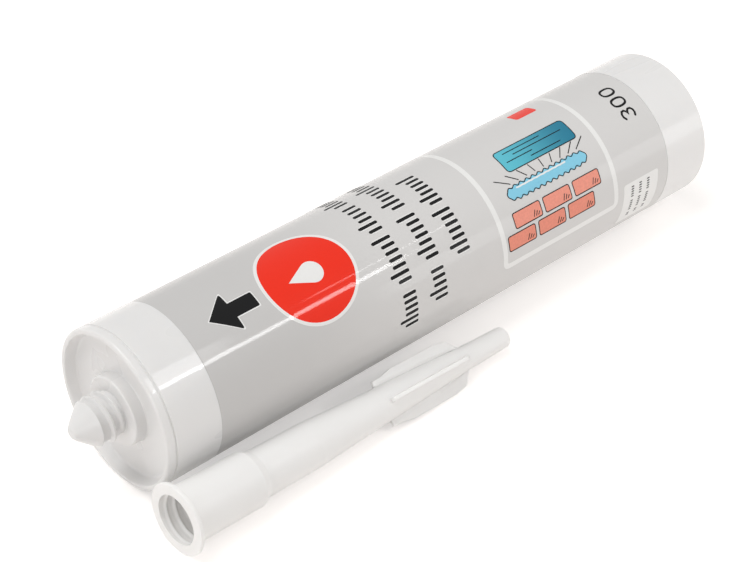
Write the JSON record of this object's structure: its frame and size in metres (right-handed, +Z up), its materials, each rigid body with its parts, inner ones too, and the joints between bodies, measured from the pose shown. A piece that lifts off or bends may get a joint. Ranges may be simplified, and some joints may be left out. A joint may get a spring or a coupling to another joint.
{
  "type": "construction adhesive cartridge",
  "caption": "Cylindrical cartridge of construction adhesive with a dished head, threaded neck, sliding piston and a loose finned nozzle beside it.",
  "frame": {"origin": "under the middle of the set, on the surface that it lies on", "axes": "+X along the tube towards its rear mouth, +Z up; the neck points to -X and the nozzle lies on the -Y side"},
  "size_m": [0.233, 0.0684, 0.049],
  "materials": {
    "tube": "moulded, satin gloss",
    "label": "clear-coated film, glossy",
    "ink_red": "printed, glossy",
    "ink_white": "printed, glossy",
    "ink_dark": "printed, glossy",
    "ink_teal": "printed, glossy",
    "ink_salmon": "printed, glossy",
    "ink_blue": "printed, glossy",
    "adhesive": "smooth paste",
    "piston": "moulded, satin",
    "nozzle": "translucent, satin"
  },
  "bodies": {
    "cartridge": {"tube": "tube", "label": "label", "print_red": "ink_red", "print_white": "ink_white", "print_dark": "ink_dark", "print_teal": "ink_teal", "print_salmon": "ink_salmon", "print_blue": "ink_blue", "adhesive": "adhesive", "nozzle": "nozzle"},
    "piston": {"piston": "piston"}
  },
  "joints": [
    {"name": "piston_slide", "type": "slide", "parent": "cartridge", "child": "piston", "axis": [-1, 0, 0], "range_m": [0, 0.175], "deforming": ["adhesive"]}
  ]
}
